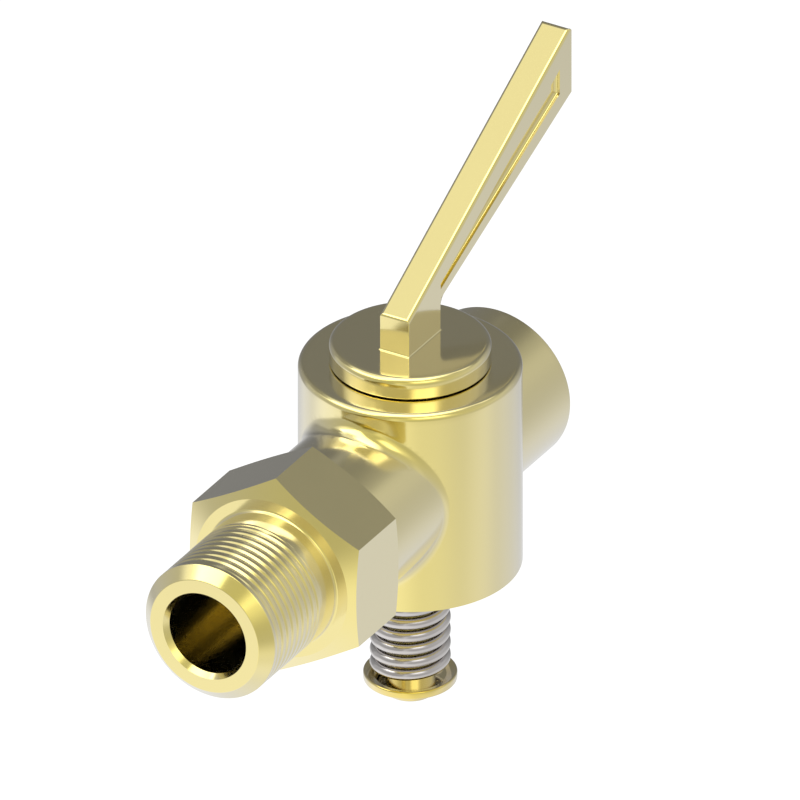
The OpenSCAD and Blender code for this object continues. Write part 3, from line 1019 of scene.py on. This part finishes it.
def seen_directly(tree):
    """1 for camera, glossy and transmission rays, and 0 for all others."""
    path = add_node(tree, "ShaderNodeLightPath").outputs
    return calc(tree, "MAXIMUM", calc(tree, "MAXIMUM", path["Is Camera Ray"], path["Is Glossy Ray"]),
                path["Is Transmission Ray"])


class VALVE_OT_stage(Operator):
    """Sets the camera, the pale floor, the light tent, the lamp and the world"""

    bl_idname = "drain_valve.stage"
    bl_label = "Stage"

    def execute(self, context):
        s = context.scene.valve_stage
        self.camera(context, s)
        self.floor(context, s)
        self.tent(context, s)
        self.lamp(context, s)
        self.world(context, s)
        context.scene.view_settings.view_transform = "Standard"
        return {"FINISHED"}

    @staticmethod
    def camera(context, s):
        a, e = s.azimuth, s.elevation
        back = Vector((math.sin(a) * math.cos(e), -math.cos(a) * math.cos(e), math.sin(e)))
        turn = (-back).to_track_quat("-Z", "Y")
        right, up = turn @ Vector((1, 0, 0)), turn @ Vector((0, 1, 0))
        data = bpy.data.cameras.new("camera")
        data.type = "ORTHO"
        data.ortho_scale = s.frame_width
        data.clip_start, data.clip_end = 0.01, 10
        camera = bpy.data.objects.new("camera", data)
        camera.rotation_mode = "QUATERNION"
        camera.rotation_quaternion = turn
        camera.location = right * s.shift_right + up * s.shift_up + back * s.distance
        context.scene.collection.objects.link(camera)
        context.scene.camera = camera

    @staticmethod
    def floor(context, s):
        material, tree = node_material("floor")
        matt = add_node(tree, "ShaderNodeBsdfDiffuse", {"Color": (*[s.floor_grey] * 3, 1)})
        glow = add_node(tree, "ShaderNodeEmission",
                        {"Strength": calc(tree, "MULTIPLY", seen_directly(tree), s.floor_glow)})
        both = add_node(tree, "ShaderNodeAddShader", {0: matt.outputs[0], 1: glow.outputs[0]})
        add_node(tree, "ShaderNodeOutputMaterial", {"Surface": both.outputs[0]})
        half = s.floor_size / 2
        bm = bmesh.new()
        bm.faces.new([bm.verts.new((x * half, y * half, -s.floor_down))
                      for x, y in ((-1, -1), (1, -1), (1, 1), (-1, 1))])
        floor = mesh_object("floor", bm)
        floor.data.materials.append(material)

    @staticmethod
    def tent(context, s):
        bm = bmesh.new()
        bmesh.ops.create_icosphere(bm, subdivisions=5, radius=s.tent_radius)
        tent = mesh_object("tent", bm)
        tent.data.polygons.foreach_set("use_smooth", [True] * len(tent.data.polygons))
        tent.data.materials.append(tent_material())
        for ray in ("camera", "diffuse", "shadow", "transmission", "volume_scatter"):
            setattr(tent, "visible_" + ray, False)

    @staticmethod
    def lamp(context, s):
        data = bpy.data.lights.new("softbox", "AREA")
        data.size = s.lamp_size
        data.energy = s.lamp_power
        lamp = bpy.data.objects.new("softbox", data)
        towards = direction(math.degrees(s.lamp_azimuth), math.degrees(s.lamp_elevation))
        lamp.location = towards * s.lamp_distance
        lamp.rotation_mode = "QUATERNION"
        lamp.rotation_quaternion = (-towards).to_track_quat("-Z", "Y")
        lamp.visible_glossy = False
        context.scene.collection.objects.link(lamp)

    @staticmethod
    def world(context, s):
        world = bpy.data.worlds.new("studio")
        context.scene.world = world
        world.cycles.sampling_method = "NONE"
        world.use_nodes = True
        tree = world.node_tree
        tree.nodes.clear()
        strength = add_node(tree, "ShaderNodeMapRange",
                            {"Value": seen_directly(tree), "To Min": s.sky, "To Max": 1.0})
        light = add_node(tree, "ShaderNodeBackground",
                         {"Color": (1, 1, 1, 1), "Strength": strength.outputs[0]})
        add_node(tree, "ShaderNodeOutputWorld", {"Surface": light.outputs[0]})


# Sidebar and registration

OPERATORS = (
    VALVE_OT_stage, VALVE_OT_casting, VALVE_OT_threads,
    VALVE_OT_key, VALVE_OT_lever, VALVE_OT_spring_set,
)
PROPERTIES = {
    "valve_casting": ValveCastingSizes,
    "valve_thread": ValveThreadSizes,
    "valve_key": ValveKeySizes,
    "valve_lever": ValveLeverSizes,
    "valve_spring": ValveSpringSizes,
    "valve_finish": ValveFinish,
    "valve_stage": ValveStageSizes,
}


class VALVE_PT_sidebar(Panel):
    """Lists the steps that dress the valve, with their sizes"""

    bl_idname = "VALVE_PT_sidebar"
    bl_label = "Drain valve"
    bl_space_type = "VIEW_3D"
    bl_region_type = "UI"
    bl_category = "Drain valve"

    def draw(self, context):
        for operator in OPERATORS:
            self.layout.operator(operator.bl_idname)
        for name, group in PROPERTIES.items():
            box = self.layout.box()
            box.label(text=group.__doc__)
            for key in group.__annotations__:
                box.prop(getattr(context.scene, name), key)


def register():
    for cls in (*PROPERTIES.values(), *OPERATORS, VALVE_PT_sidebar):
        bpy.utils.register_class(cls)
    for name, cls in PROPERTIES.items():
        setattr(bpy.types.Scene, name, PointerProperty(type=cls))


def unregister():
    for name in PROPERTIES:
        delattr(bpy.types.Scene, name)
    for cls in reversed((*PROPERTIES.values(), *OPERATORS, VALVE_PT_sidebar)):
        bpy.utils.unregister_class(cls)


def main():
    register()
    for operator in OPERATORS:
        call = getattr(bpy.ops.drain_valve, operator.bl_idname.split(".")[1])
        if call() != {"FINISHED"}:
            raise RuntimeError(operator.bl_idname + " did not finish")


if __name__ == "__main__":
    main()
